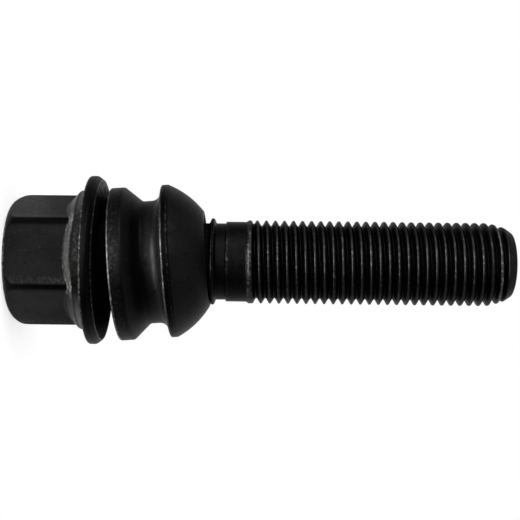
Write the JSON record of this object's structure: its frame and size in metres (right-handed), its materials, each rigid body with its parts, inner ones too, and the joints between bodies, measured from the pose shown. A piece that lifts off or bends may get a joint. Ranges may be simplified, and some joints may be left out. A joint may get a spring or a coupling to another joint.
{
  "type": "wheel bolt",
  "caption": "Black wheel bolt: domed hexagon head on a flange, free collar with a spherical seat held by a rolled bead, plain shank and a long right-hand thread with a chamfered tip.",
  "frame": {"origin": "centre of the head's end face, on which the bolt stands", "axes": "+Z along the bolt's axis from head to tip; the collar leans in the XZ plane, its -X side nearest the flange"},
  "size_m": [0.0278, 0.0278, 0.0823],
  "materials": {
    "bolt_steel": "satin black coating, worn bright on crests and edges",
    "collar_steel": "satin black coating, worn on its head-side rim"
  },
  "bodies": {
    "bolt": {"wheel_bolt": "bolt_steel"},
    "collar": {"ball_seat_collar": "collar_steel"}
  },
  "joints": [
    {"name": "collar_spin", "type": "hinge", "parent": "bolt", "child": "collar", "pos_m": [0, 0, 0.024], "axis": [0, 0, 1], "continuous": true}
  ]
}
